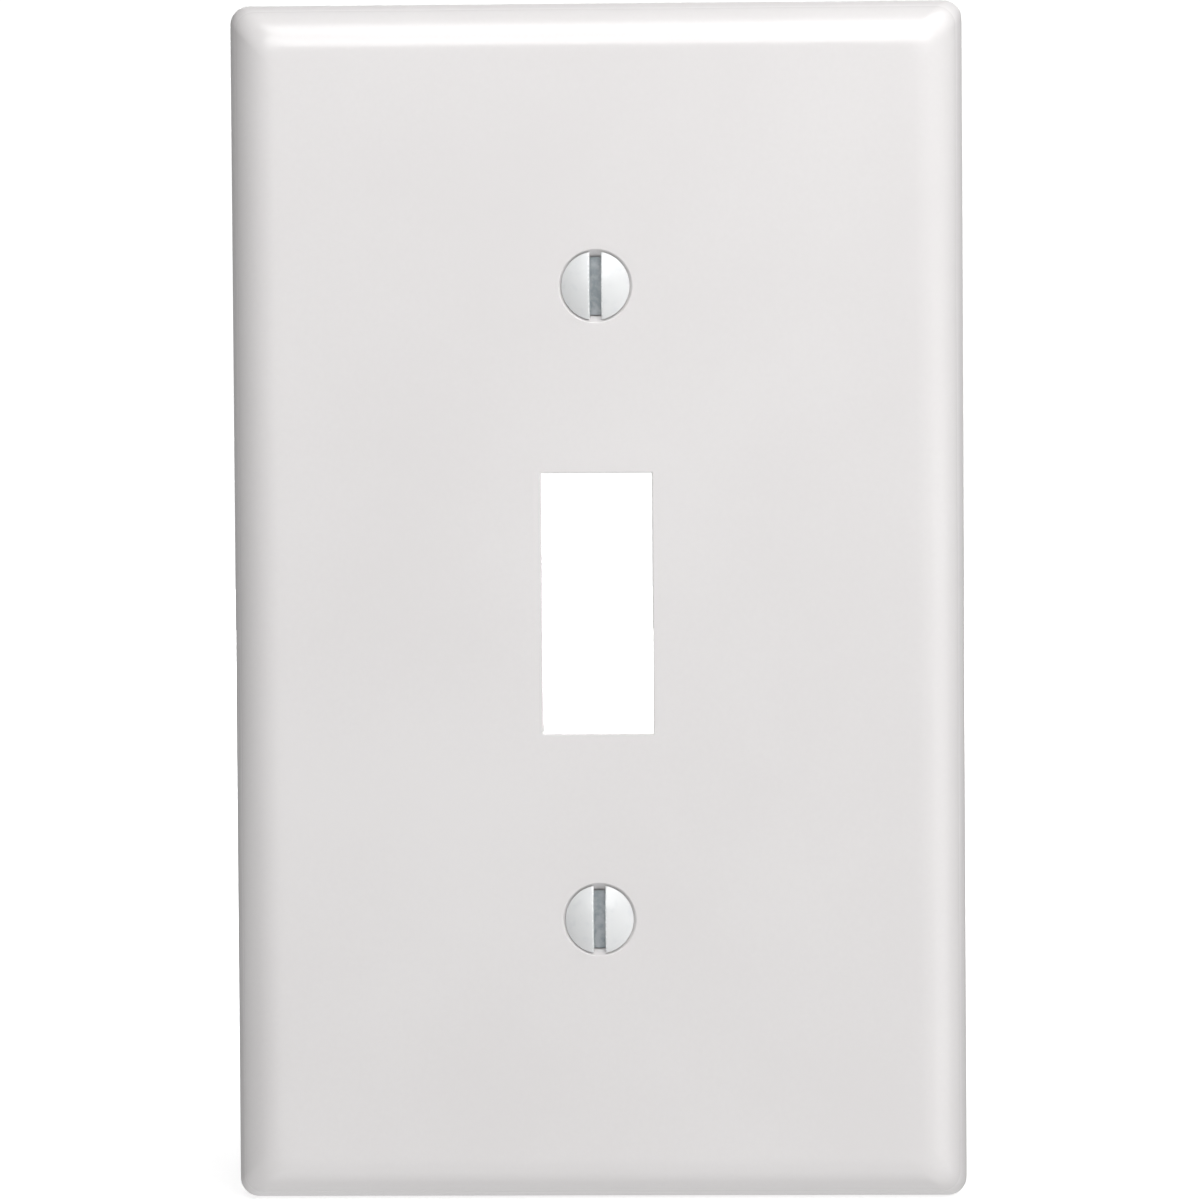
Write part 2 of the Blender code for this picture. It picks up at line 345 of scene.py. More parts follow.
def helical_thread() -> ShapeTree:
    """Build the tree that cuts a right-hand thread round the Y axis.

    Rows of points follow the helix, so that crests and roots are true edges. The rows are held
    between the neck and the tip, where they close up into circles.

    Returns:
        The tree, with the thread's sizes as inputs.
    """
    names = (
        "Start", "Tip", "Pitch", "Crest Radius", "Root Radius", "Neck Radius", "Tip Radius",
        "Chamfer", "Runout",
    )
    sizes = dict.fromkeys(names, "NodeSocketFloat")
    sizes.update({"Rows": "NodeSocketInt", "Rows Per Pitch": "NodeSocketInt", "Around": "NodeSocketInt"})
    tree = ShapeTree("helical_thread", sizes)
    graph = tree.graph
    columns = tree.size("Around") + 1.0
    grid = graph.wire(
        "GeometryNodeMeshGrid", None, {"Vertices X": tree.size("Rows"), "Vertices Y": columns}
    )
    index = graph.wire("GeometryNodeInputIndex")
    column = index % columns
    row = ((index - column) / columns + 0.5).floor()
    phase = row / tree.size("Rows Per Pitch")
    turns = column / tree.size("Around")
    free = tree.size("Start") + (phase - turns) * tree.size("Pitch")
    along = free.at_least(tree.size("Start")).at_most(tree.size("Tip"))
    from_crest = (phase % 1.0 - 0.5).absolute()
    crest_half = 1.0 / 16.0
    flank = 0.354
    lift = ((crest_half + flank - from_crest) / flank).at_least(0.0).at_most(1.0)
    cut = tree.size("Crest Radius") - tree.size("Root Radius")
    threaded = tree.size("Root Radius") + lift * cut
    runout = ((along - tree.size("Start")) / tree.size("Runout")).ramp(0.0, 1.0)
    body = tree.size("Neck Radius") * (1.0 - runout) + threaded * runout
    cone = tree.size("Tip Radius") + (tree.size("Tip") - along) * tree.size("Chamfer")
    radius = body.at_most(cone)
    turn = turns * (2.0 * math.pi)
    spot = graph.wire(
        "ShaderNodeCombineXYZ",
        None,
        {"X": radius * turn.cosine(), "Y": along, "Z": radius * turn.sine()},
    )
    tree.end(graph.wire("GeometryNodeSetPosition", None, {"Geometry": grid, "Position": spot}))
    return tree


def scatter() -> ShapeTree:
    """Build the tree that sets a copy of a piece on every point of its mesh.

    Returns:
        The tree, with the input Piece.
    """
    tree = ShapeTree("scatter", {"Piece": "NodeSocketObject"})
    graph = tree.graph
    piece = graph.wire(
        "GeometryNodeObjectInfo", None, {"Object": tree.size("Piece")}, output="Geometry"
    )
    copies = graph.wire(
        "GeometryNodeInstanceOnPoints", None, {"Points": tree.size("Geometry"), "Instance": piece}
    )
    tree.end(copies)
    return tree


def soften(corners: list[tuple[float, float, float]], steps: int) -> list[tuple[float, float]]:
    """Round the corners of a line with arcs.

    Args:
        corners: (inset, y, rounding radius) of each corner, in order.
        steps: Number of chords in each arc.

    Returns:
        The (inset, y) points of the softened line.
    """
    points = []
    last = len(corners) - 1
    for number, (inset, y, radius) in enumerate(corners):
        corner = Vector((inset, y))
        if radius <= 0.0 or number in (0, last):
            points.append(corner.to_tuple())
            continue
        before = (Vector(corners[number - 1][:2]) - corner).normalized()
        after = (Vector(corners[number + 1][:2]) - corner).normalized()
        half_angle = before.angle(after) / 2.0
        reach = radius / math.tan(half_angle)
        hub = corner + (before + after).normalized() * (radius / math.sin(half_angle))
        first = corner + before * reach - hub
        final = corner + after * reach - hub
        for step in range(steps + 1):
            outward = first.slerp(final, step / steps).normalized()
            points.append((hub + outward * radius).to_tuple())
    return points


def line_mesh(points: Profile) -> bpy.types.Mesh:
    """Return a mesh that is one line through the given points.

    Args:
        points: The points in order.

    Returns:
        The mesh, which has no faces.
    """
    mesh = bpy.data.meshes.new("profile")
    edges = [(number, number + 1) for number in range(len(points) - 1)]
    mesh.from_pydata(points, edges, [])
    return mesh


def finish_mesh(shape: bmesh.types.BMesh, name: str, material: bpy.types.Material) -> bpy.types.Object:
    """Turn a closed shape into a smooth-shaded piece.

    Args:
        shape: The shape; it is freed.
        name: The piece's name.
        material: Its finish.

    Returns:
        The piece, with its place in its mesh.
    """
    bmesh.ops.recalc_face_normals(shape, faces=shape.faces)
    mesh = bpy.data.meshes.new(name)
    shape.to_mesh(mesh)
    shape.free()
    mesh.materials.clear()
    mesh.materials.append(material)
    mesh.polygons.foreach_set("material_index", [0] * len(mesh.polygons))
    mesh.shade_smooth()
    mesh.set_sharp_from_angle(angle=SHARP_ANGLE)
    piece = bpy.data.objects.new(name, mesh)
    bpy.context.scene.collection.objects.link(piece)
    weigh = piece.modifiers.new("even_shading", "WEIGHTED_NORMAL")
    weigh.keep_sharp = True
    LOG.info("%s: %d faces", name, len(mesh.polygons))
    return piece


def count_open_edges(shape: bmesh.types.BMesh) -> int:
    """Return how many edges don't lie between exactly two faces."""
    return sum(not edge.is_manifold for edge in shape.edges)


@dataclass
class CoverPlate:
    """The moulded plate: a shallow tray with rounded edges, seen from the front and the back."""

    width: float
    height: float
    depth: float
    screw_heights: list[float]
    plastic: bpy.types.Material
    sweep: ShapeTree
    # Outline, walls and the rounded edge.
    corner_radius: float = 1.8 * MM
    recess_corner_radius: float = 0.7 * MM
    face_wall: float = 2.2 * MM
    rim_wall: float = 2.1 * MM
    edge_land: float = 1.2 * MM
    edge_round: float = 4.6 * MM
    edge_steps: int = 28
    # Toggle opening, with the collar behind it.
    opening: tuple[float, float] = (10.8 * MM, 25.1 * MM)
    opening_edge: float = 0.15 * MM
    opening_corner: float = 0.12 * MM
    collar_wall: float = 1.6 * MM
    collar_height: float = 1.2 * MM
    # Screw holes, with the bosses behind them.
    boss_wall: float = 1.3 * MM
    boss_height: float = 1.4 * MM
    seat_radius: float = 3.51 * MM
    hole_radius: float = 2.05 * MM
    seat_slope: float = math.tan(math.radians(41.0))
    # Ribs, and the marks of the ejector pins as shares of the plate's width and height.
    rib_width: float = 1.2 * MM
    rib_height: float = 0.9 * MM
    rib_spacing: float = 6.2 * MM
    mark_radius: float = 1.6 * MM
    mark_height: float = 0.12 * MM
    mark_spread: tuple[float, float] = (0.32, 0.38)
    # Radii that soften the corners.
    rim_outer_edge: float = 0.15 * MM
    hole_mouth: float = 0.12 * MM
    hole_neck: float = 0.1 * MM
    bore_edge: float = 0.15 * MM
    moulded_edge: float = 0.2 * MM
    fillet: float = 0.25 * MM
    pad_edge: float = 0.3 * MM
    # How far a swept band reaches into the flats beside it, and the chords in a soft corner.
    guard: float = 0.5 * MM
    soft_steps: int = 5

    @property
    def front(self) -> float:
        """Plane of the flat front."""
        return -self.depth

    @property
    def floor(self) -> float:
        """Plane of the recess's floor."""
        return self.face_wall - self.depth

    def edge_profile(self) -> Profile:
        """Return the edge, from the flat front round the rim to the recess's floor.

        Returns:
            (inset, y, corner radius) of each point.
        """
        line = [(self.edge_round + self.guard, self.front, self.corner_radius)]
        for step in range(self.edge_steps + 1):
            angle = step / self.edge_steps * math.pi / 2.0
            inset = self.edge_round * (1.0 - math.sin(angle))
            y = -self.edge_land - (self.depth - self.edge_land) * math.cos(angle)
            line.append((inset, y, self.corner_radius))
        rim = soften(
            [
                (0.0, -self.edge_land / 2.0, 0.0),
                (0.0, 0.0, self.rim_outer_edge),
                (self.rim_wall, 0.0, self.moulded_edge),
                (self.rim_wall, -self.edge_land / 2.0, 0.0),
            ],
            self.soft_steps,
        )
        shrink = (self.corner_radius - self.recess_corner_radius) / self.rim_wall
        line += [(inset, y, self.corner_radius - shrink * inset) for inset, y in rim]
        width = self.edge_round - self.rim_wall
        depth = self.depth - self.face_wall - self.edge_land
        half_steps = self.edge_steps // 2
        for step in range(half_steps + 1):
            angle = (1.0 - step / half_steps) * math.pi / 2.0
            inset = self.rim_wall + width * (1.0 - math.sin(angle))
            y = -self.edge_land - depth * math.cos(angle)
            line.append((inset, y, self.recess_corner_radius))
        line.append((self.edge_round + self.guard, self.floor, self.recess_corner_radius))
        return line

    def opening_profile(self) -> Profile:
        """Return the toggle opening, from the flat front through its collar to the floor.

        Returns:
            (inset, y, corner radius) of each point; its insets are negative, outside the outline.
        """
        collar_end = self.floor + self.collar_height
        collar_side = -self.collar_wall - self.opening_edge
        corners = [
            (-self.opening_edge - self.guard, self.front, 0.0),
            (0.0, self.front, self.opening_edge),
            (0.0, collar_end, self.moulded_edge),
            (collar_side, collar_end, self.moulded_edge),
            (collar_side, self.floor, self.fillet),
            (collar_side - self.guard, self.floor, 0.0),
        ]
        grow = 0.35
        line = []
        for inset, y in soften(corners, self.soft_steps):
            radius = self.opening_corner + grow * max(0.0, -inset - self.opening_edge)
            line.append((inset, y, radius))
        return line

    def hole_profile(self) -> Profile:
        """Return a screw's hole, from the flat front through the boss to the floor.

        Returns:
            (inset, y, radius) of each point, for an outline of the seat's radius.
        """
        boss_end = self.floor + self.boss_height
        boss_radius = self.seat_radius + self.boss_wall
        cone_depth = (self.seat_radius - self.hole_radius) / self.seat_slope
        corners = [
            (self.seat_radius + self.guard, self.front, 0.0),
            (self.seat_radius, self.front, self.hole_mouth),
            (self.hole_radius, self.front + cone_depth, self.hole_neck),
            (self.hole_radius, boss_end, self.bore_edge),
            (boss_radius, boss_end, self.moulded_edge),
            (boss_radius, self.floor, self.fillet),
            (boss_radius + self.guard, self.floor, 0.0),
        ]
        line = soften(corners, self.soft_steps)
        return [(self.seat_radius - radius, y, radius) for radius, y in line]

    def _swept(self, name: str, line: Profile, size: tuple[float, float], steps: int) -> bpy.types.Mesh:
        """Carry a profile round an outline.

        Args:
            name: The mesh's name.
            line: The profile.
            size: The outline's width and height.
            steps: Number of chords in each quarter turn.

        Returns:
            The open band that the profile sweeps.
        """
        values = {
            "Width": size[0], "Height": size[1], "Corner Steps": steps, "Material": self.plastic,
        }
        return self.sweep.run(name, line_mesh(line), values)

    def body(self) -> bpy.types.Object:
        """Build the plate itself, closed, with its opening and screw holes.

        Returns:
            The piece.
        """
        shape = bmesh.new()
        shape.from_mesh(self._swept("edge", self.edge_profile(), (self.width, self.height), 12))
        inner = tuple(side - 2.0 * self.opening_edge for side in self.opening)
        shape.from_mesh(self._swept("opening", self.opening_profile(), inner, 4))
        round_size = (2.0 * self.seat_radius, 2.0 * self.seat_radius)
        hole = self._swept("hole", self.hole_profile(), round_size, 20)
        for height in self.screw_heights:
            placed = hole.copy()
            placed.transform(Matrix.Translation((0.0, 0.0, height)))
            shape.from_mesh(placed)
        bmesh.ops.remove_doubles(shape, verts=shape.verts, dist=MERGE)
        for plane in (self.front, self.floor):
            self._fill_flat(shape, plane)
        LOG.info("plate: %d open edges", count_open_edges(shape))
        return finish_mesh(shape, "moulded_plate", self.plastic)

    @staticmethod
    def _fill_flat(shape: bmesh.types.BMesh, plane: float) -> None:
        """Fill the flat that lies between the outlines in one plane.

        Args:
            shape: The shape with open edges in that plane.
            plane: The plane's Y.
        """
        near = 0.01 * MM
        rim = [
            edge for edge in shape.edges
            if edge.is_boundary and all(abs(vert.co.y - plane) < near for vert in edge.verts)
        ]
        bmesh.ops.triangle_fill(shape, use_beauty=True, edges=rim, normal=(0.0, -1.0, 0.0))

    def _pad(self, name: str, size: tuple[float, float], height: float, corner: float) -> bpy.types.Mesh:
        """Return a low pad with a rounded edge, sunk a little into the recess's floor.

        Args:
            name: The mesh's name.
            size: Its width and height on the plate.
            height: How far it stands out of the floor.
            corner: Its corner radius; half the size makes it round.

        Returns:
            The closed pad, centred on the Y axis.
        """
        crest = self.floor + height
        sunk = 0.3 * MM
        least_corner = 0.02 * MM
        edge = min(self.pad_edge, 0.6 * height)
        corners = [(0.0, self.floor - sunk, 0.0), (0.0, crest, edge), (1.6 * edge, crest, 0.0)]
        line = [
            (inset, y, max(corner - inset, least_corner))
            for inset, y in soften(corners, self.soft_steps)
        ]
        shape = bmesh.new()
        shape.from_mesh(self._swept(name, line, size, 8))
        bmesh.ops.holes_fill(shape, edges=[edge for edge in shape.edges if edge.is_boundary])
        bmesh.ops.recalc_face_normals(shape, faces=shape.faces)
        mesh = bpy.data.meshes.new(name)
        shape.to_mesh(mesh)
        shape.free()
        return mesh

    def _scattered(self, name: str, pad: bpy.types.Mesh, spots: list[Vector]) -> bpy.types.Object:
        """Set copies of a pad on the recess's floor.

        Args:
            name: The piece's name.
            pad: The pad that repeats.
            spots: Where each copy stands.

        Returns:
            The piece that holds all the copies.
        """
        guide = bpy.data.objects.new(name + "_pad", pad)
        bpy.context.scene.collection.objects.link(guide)
        points = bpy.data.meshes.new(name + "_spots")
        points.from_pydata(spots, [], [])
        mesh = scatter().run(name, points, {"Piece": guide, "Material": self.plastic})
        bpy.data.objects.remove(guide, do_unlink=True)
        shape = bmesh.new()
        shape.from_mesh(mesh)
        return finish_mesh(shape, name, self.plastic)

    def ribs(self) -> bpy.types.Object:
        """Build the ribs that tie each boss to the collar.

        Returns:
            The piece.
        """
        start = self.opening[1] / 2.0 + self.collar_wall / 2.0
        end = max(self.screw_heights)
        pad = self._pad("rib", (self.rib_width, end - start), self.rib_height, 0.3 * MM)
        spots = [
            Vector((hand * self.rib_spacing / 2.0, 0.0, side.value * (start + end) / 2.0))
            for side in Side
            for hand in (-1, 1)
        ]
        return self._scattered("plate_ribs", pad, spots)

    def ejector_marks(self) -> bpy.types.Object:
        """Build the round marks that the mould's pins leave on the recess's floor.

        Returns:
            The piece.
        """
        size = 2.0 * self.mark_radius
        pad = self._pad("mark", (size, size), self.mark_height, self.mark_radius)
        across = self.width * self.mark_spread[0]
        along = self.height * self.mark_spread[1]
        spots = [
            Vector((hand * across, 0.0, row * along))
            for hand in (-1, 1)
            for row in (-1, 0, 1)
        ]
        return self._scattered("plate_ejector_marks", pad, spots)

    def build(self) -> None:
        """Build the plate's pieces and set them on its body."""
        body = self.body()
        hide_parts("cover_plate")
        for piece in (body, self.ribs(), self.ejector_marks()):
            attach(piece, "plate")


@dataclass
class OvalHeadScrew:
    """A slotted oval-head screw, with its axis along Y and its tip towards the wall."""

    side: Side
    rim_plane: float
    height: float
    paint: bpy.types.Material
    sweep: ShapeTree
    thread: ShapeTree
    # Head; softening its rim takes its radius back to 3.25 mm.
    head_radius: float = 3.275 * MM
    dome: float = 1.0 * MM
    rim_edge: float = 0.05 * MM
    cone_slope: float = math.tan(math.radians(41.0))
    neck_radius: float = 1.45 * MM
    # Shank and thread.
    length: float = 12.7 * MM
    crest_radius: float = 1.7525 * MM
    pitch: float = INCH / 32.0
    thread_depth: float = 0.6134
    tip_radius: float = 1.2 * MM
    tip_slope: float = 1.0
    # Driver slot.
    slot_width: float = 1.12 * MM
    slot_depth: float = 1.6 * MM
    slot_edge: float = 0.14 * MM
    slot_fillet: float = 0.12 * MM
    # Steps in which the screw is drawn.
    quarter_steps: int = 18
    rows_per_pitch: int = 16
    dome_steps: int = 24
    slot_stations: int = 48
    soft_steps: int = 4

    @property
    def ball_radius(self) -> float:
        """Radius of the sphere that the dome is part of."""
        return (self.head_radius ** 2 + self.dome ** 2) / (2.0 * self.dome)

    @property
    def neck_plane(self) -> float:
        """Where the head's cone ends and the thread begins."""
        return self.rim_plane + (self.head_radius - self.neck_radius) / self.cone_slope

    def dome_plane(self, radius: float) -> float:
        """Return the height of the dome's surface, held at the rim's outside the head.

        Args:
            radius: Distance from the screw's axis.

        Returns:
            The surface's Y.
        """
        held = min(radius, self.head_radius)
        top = self.rim_plane - self.dome
        return top + self.ball_radius - math.sqrt(self.ball_radius ** 2 - held ** 2)

    def head_band(self) -> bpy.types.Mesh:
        """Turn the head, from the top of its dome to the end of its cone.

        Returns:
            The open band that the head's profile sweeps.
        """
        sweep = math.asin(self.head_radius / self.ball_radius)
        corners = []
        for step in range(self.dome_steps + 1):
            radius = self.ball_radius * math.sin(sweep * step / self.dome_steps)
            corners.append((radius, self.dome_plane(radius), 0.0))
        corners[-1] = (self.head_radius, self.rim_plane, self.rim_edge)
        corners.append((self.neck_radius, self.neck_plane, 0.0))
        line = [
            (self.head_radius - radius, y, radius) for radius, y in soften(corners, self.soft_steps)
        ]
        size = 2.0 * self.head_radius
        values = {
            "Width": size, "Height": size, "Corner Steps": self.quarter_steps, "Material": self.paint,
        }
        return self.sweep.run("head", line_mesh(line), values)

    def thread_band(self) -> bpy.types.Mesh:
        """Cut the thread, from the neck to the tip.

        Returns:
            The open band of the thread.
        """
        tip = self.rim_plane + self.length
        pitches = (tip - self.neck_plane) / self.pitch + 1.0
        values = {
            "Start": self.neck_plane,
            "Tip": tip,
            "Pitch": self.pitch,
            "Crest Radius": self.crest_radius,
            "Root Radius": self.crest_radius - self.thread_depth * self.pitch,
            "Neck Radius": self.neck_radius,
            "Tip Radius": self.tip_radius,
            "Chamfer": self.tip_slope,
            "Runout": self.pitch,
            "Rows": math.ceil(pitches * self.rows_per_pitch) + 1,
            "Rows Per Pitch": self.rows_per_pitch,
            "Around": 4 * self.quarter_steps,
            "Material": self.paint,
        }
        return self.thread.run("thread", line_mesh([(0.0, 0.0, 0.0)]), values)

    def slot_cutter(self) -> bpy.types.Object:
        """Build what the driver slot takes away, with soft edges along the dome.

        Returns:
            The cutter, a loft of the slot's section along Z.
        """
        half = self.slot_width / 2.0
        floor = self.rim_plane - self.dome + self.slot_depth
        reach = self.head_radius + 1.0 * MM
        clear = self.rim_plane - 2.0 * self.dome
        shape = bmesh.new()
        sections = []
        for station in range(self.slot_stations + 1):
            z = reach * (2.0 * station / self.slot_stations - 1.0)
            surface = self.dome_plane(math.hypot(half, z))
            corners = [
                (0.0, floor, 0.0),
                (half, floor, self.slot_fillet),
                (half, surface, self.slot_edge),
                (half + 2.0 * self.slot_edge, surface, 0.0),
            ]
            side = soften(corners, self.soft_steps)[:-1]
            side.append((side[-1][0], clear))
            ring = side + [(-x, y) for x, y in reversed(side[1:])]
            sections.append([shape.verts.new((x, y, z)) for x, y in ring])
        for low, high in zip(sections, sections[1:]):
            for number in range(len(low)):
                after = (number + 1) % len(low)
                shape.faces.new((low[number], low[after], high[after], high[number]))
        shape.faces.new(sections[0])
        shape.faces.new(list(reversed(sections[-1])))
        bmesh.ops.recalc_face_normals(shape, faces=shape.faces)
        mesh = bpy.data.meshes.new("slot")
        shape.to_mesh(mesh)
        shape.free()
        cutter = bpy.data.objects.new("slot", mesh)
        bpy.context.scene.collection.objects.link(cutter)
        return cutter

    def build(self) -> None:
        """Build the screw, cut its slot and set it on its body."""
        shape = bmesh.new()
        shape.from_mesh(self.head_band())
        shape.from_mesh(self.thread_band())
        bmesh.ops.remove_doubles(shape, verts=shape.verts, dist=0.5 * MERGE)
        bmesh.ops.dissolve_degenerate(shape, edges=shape.edges, dist=0.1 * MERGE)
        bmesh.ops.holes_fill(shape, edges=[edge for edge in shape.edges if edge.is_boundary])
        bmesh.ops.recalc_face_normals(shape, faces=shape.faces)
        LOG.info("%s: %d open edges before the slot", self.side.node, count_open_edges(shape))
        blank = bpy.data.meshes.new("blank")
        shape.to_mesh(blank)
        shape.free()
        carrier = bpy.data.objects.new("blank", blank)
        bpy.context.scene.collection.objects.link(carrier)
        cutter = self.slot_cutter()
        cut = carrier.modifiers.new("slot", "BOOLEAN")
        cut.operation = "DIFFERENCE"
        cut.solver = "EXACT"
        cut.object = cutter
        evaluated = carrier.evaluated_get(bpy.context.evaluated_depsgraph_get())
        slotted = bpy.data.meshes.new_from_object(evaluated)
        for spent in (carrier, cutter):
            bpy.data.objects.remove(spent, do_unlink=True)
        slotted.transform(Matrix.Translation((0.0, 0.0, self.height)))
        shape = bmesh.new()
        shape.from_mesh(slotted)
        bmesh.ops.remove_doubles(shape, verts=shape.verts, dist=MERGE)
        LOG.info("%s: %d open edges", self.side.node, count_open_edges(shape))
        piece = finish_mesh(shape, self.side.node.replace("screw", "oval_head_screw"), self.paint)
        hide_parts(self.side.node)
        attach(piece, self.side.node)


def grey(value: float) -> Colour:
    """Return a neutral colour."""
    return (value, value, value, 1.0)


@dataclass(frozen=True)
class Finish:
    """What every finish has: a name, a place to read and a surface to put out."""

    name: str

    def material(self) -> bpy.types.Material:
        """Make the material.

        Returns:
            The material, with its node tree filled in.
        """
        made = bpy.data.materials.new(self.name)
        made.use_nodes = True
        graph = Graph(made.node_tree)
        place = graph.wire("ShaderNodeTexCoord", output="Object")
        graph.node("ShaderNodeOutputMaterial", None, {"Surface": self.surface(graph, place)})
        return made

    def surface(self, graph: Graph, place: Wire) -> Wire:
        """Return the finish's shader, which each finish describes for itself."""
        raise NotImplementedError

    @staticmethod
    def noise(graph: Graph, place: Wire, per_mm: float, detail: float = 2.0, seed: float = 0.0) -> Wire:
        """Return noise between 0 and 1 with the given number of features per millimetre.

        Args:
            graph: The tree.
            place: Where it is read.
            per_mm: Features per millimetre.
            detail: Octaves.
            seed: Shifts the pattern.

        Returns:
            The noise.
        """
        shifted = graph.wire("ShaderNodeMapping", None, {"Vector": place, "Location": (seed, seed, seed)})
        inputs = {"Vector": shifted, "Scale": per_mm / MM, "Detail": detail}
        return graph.wire("ShaderNodeTexNoise", None, inputs, "Fac")

    @staticmethod
    def blend(graph: Graph, factor: Wire, low: Wire | Colour, high: Wire | Colour) -> Wire:
        """Return the colour between two colours."""
        inputs = {0: factor, 6: low, 7: high}
        return graph.wire("ShaderNodeMix", {"data_type": "RGBA"}, inputs, 2)


@dataclass(frozen=True)
class MouldedPlastic(Finish):
    """White moulded plastic with a soft gloss, duller on the side that faces the wall."""

    name: str = "white_moulded_plastic"
    pale: Colour = (0.803, 0.785, 0.783, 1.0)
    deep: Colour = (0.779, 0.759, 0.757, 1.0)
    recess_start: float = -3.6 * MM
    recess_end: float = -3.2 * MM
    roughness: float = 0.2
    recess_roughness: float = 0.42

    def surface(self, graph: Graph, place: Wire) -> Wire:
        """Return a slightly mottled white with fine ripples in its gloss.

        Args:
            graph: The material's tree.
            place: Object coordinates.

        Returns:
            The shader.
        """
        cloud = self.noise(graph, place, 0.035, 3.0, 0.31)
        grain = self.noise(graph, place, 2.4, 3.0, 0.17)
        mottle = (cloud * 0.75 + grain * 0.25).ramp(0.32, 0.68)
        parts = graph.node("ShaderNodeSeparateXYZ", None, {"Vector": place})
        behind = Wire(graph, parts.outputs["Y"]).ramp(self.recess_start, self.recess_end)
        wiped = self.noise(graph, place, 0.12, 4.0, 0.53).ramp(0.35, 0.7, -0.02, 0.035)
        roughness = behind * (self.recess_roughness - self.roughness) + self.roughness + wiped
        ripple = self.noise(graph, place, 0.45, 1.0, 0.71) + grain * 0.12
        bump = {"Strength": 0.06, "Distance": 0.1 * MM, "Height": ripple}
        inputs = {
            "Base Color": self.blend(graph, mottle, self.deep, self.pale),
            "Roughness": roughness,
            "IOR": 1.56,
            "Normal": graph.wire("ShaderNodeBump", None, bump),
        }
        return graph.wire("ShaderNodeBsdfPrincipled", None, inputs)


@dataclass(frozen=True)
class PaintedScrew(Finish):
    """White paint on the head, which gives way to bright zinc on the thread, with painted shade in the
    slot and painted glints along its edges.
    """

    name: str = "white_paint_over_zinc"
    paint: Colour = (0.80, 0.81, 0.813, 1.0)
    thin_paint: Colour = (0.70, 0.72, 0.74, 1.0)
    zinc: Colour = (0.82, 0.83, 0.84, 1.0)
    # Painted shade: two dark greys that stand in for the shade inside the driver slot.
    slot_painted_shade_deep: Colour = (0.30, 0.335, 0.35, 1.0)
    slot_painted_shade_soft: Colour = (0.41, 0.43, 0.45, 1.0)
    # Painted glints: a brighter white flecked along the slot's edges.
    painted_glint_colour: Colour = (0.93, 0.94, 0.95, 1.0)
    slot_half: float = 0.55 * MM
    slot_top: float = -5.9 * MM
    slot_floor: float = -5.25 * MM
    paint_end: float = -3.4 * MM
    ragged: float = 0.5 * MM

    def surface(self, graph: Graph, place: Wire) -> Wire:
        """Return the paint, with a ragged border to the bare zinc, painted shade in the slot and painted
        glints beside it.

        Args:
            graph: The material's tree.
            place: Object coordinates.

        Returns:
            The shader.
        """
        parts = graph.node("ShaderNodeSeparateXYZ", None, {"Vector": place})
        across = Wire(graph, parts.outputs["X"]).absolute()
        along = Wire(graph, parts.outputs["Y"])
        patch = self.noise(graph, place, 1.6, 3.0, 0.23)
        border = along + (patch - 0.5) * (2.0 * self.ragged)
        bare = border.ramp(self.paint_end - 0.1 * MM, self.paint_end + 0.1 * MM)
        thin = self.noise(graph, place, 0.9, 3.0, 0.61).ramp(0.5, 0.8, 0.0, 0.5)
        coat = self.blend(graph, thin, self.paint, self.thin_paint)
        streak = self.noise(graph, place, 6.0, 4.0, 0.37)
        # Painted shade: the slot is filled with mottled dark greys from just below its rim down to its
        # floor.
        within = 1.0 - across.ramp(self.slot_half - 0.01 * MM, self.slot_half + 0.01 * MM)
        sunk = (along + (streak - 0.5) * 0.3 * MM).ramp(self.slot_top, self.slot_floor)
        slot = within * sunk
        slot_shade_mottle = self.noise(graph, place, 1.3, 3.0, 0.29).ramp(0.4, 0.66)
        coat = self.blend(graph, slot, coat, self.blend(graph, slot_shade_mottle, self.slot_painted_shade_deep, self.slot_painted_shade_soft))
        # Painted glints: brighter white specks just outside the slot's walls.
        beside = 1.0 - across.ramp(self.slot_half + 0.05 * MM, self.slot_half + 0.2 * MM)
        painted_glints = beside * self.noise(graph, place, 4.0, 2.0, 0.83).ramp(0.5, 0.56)
        coat = self.blend(graph, painted_glints * (1.0 - slot), coat, self.painted_glint_colour)
        dull = bare * 0.14 + 0.2 + streak * 0.08
        ripple = self.noise(graph, place, 1.1, 2.0, 0.47) + streak * bare * 0.3
        bump = {"Strength": 0.08, "Distance": 0.05 * MM, "Height": ripple}
        inputs = {
            "Base Color": self.blend(graph, bare, coat, self.zinc),
            "Metallic": bare,
            "Roughness": dull,
            "IOR": 1.5,
            "Normal": graph.wire("ShaderNodeBump", None, bump),
        }
        return graph.wire("ShaderNodeBsdfPrincipled", None, inputs)


@dataclass(frozen=True)
class StudioFloor(Finish):
    """A pale floor that brightens away from the object until it meets the white around it."""

    name: str = "pale_floor"
    shade: float = 0.72
    near: float = 0.02
    far: float = 0.2
    near_glow: float = 0.48
    far_glow: float = 1.05

    def surface(self, graph: Graph, place: Wire) -> Wire:
        """Return a matt floor with a glow that grows with the distance from the middle.

        Args:
            graph: The material's tree.
            place: Object coordinates.

        Returns:
            The shader.
        """
        reach = graph.wire("ShaderNodeVectorMath", {"operation": "LENGTH"}, {0: place}, "Value")
        glow = reach.ramp(self.near, self.far)
        dim = grey(self.near_glow)
        bright = grey(self.far_glow)
        inputs = {
            "Base Color": grey(self.shade),
            "Roughness": 0.8,
            "Specular IOR Level": 0.1,
            "Emission Color": self.blend(graph, glow, dim, bright),
            "Emission Strength": 1.0,
        }
        return graph.wire("ShaderNodeBsdfPrincipled", None, inputs)


def heading(azimuth: float, elevation: float) -> Vector:
    """Return the direction from the object to something that stands round it.

    Args:
        azimuth: Degrees to the right of straight in front.
        elevation: Degrees above the level.

    Returns:
        The direction, of length 1.
    """
    turn = math.radians(azimuth)
    rise = math.radians(elevation)
    return Vector((math.sin(turn) * math.cos(rise), -math.cos(turn) * math.cos(rise), math.sin(rise)))


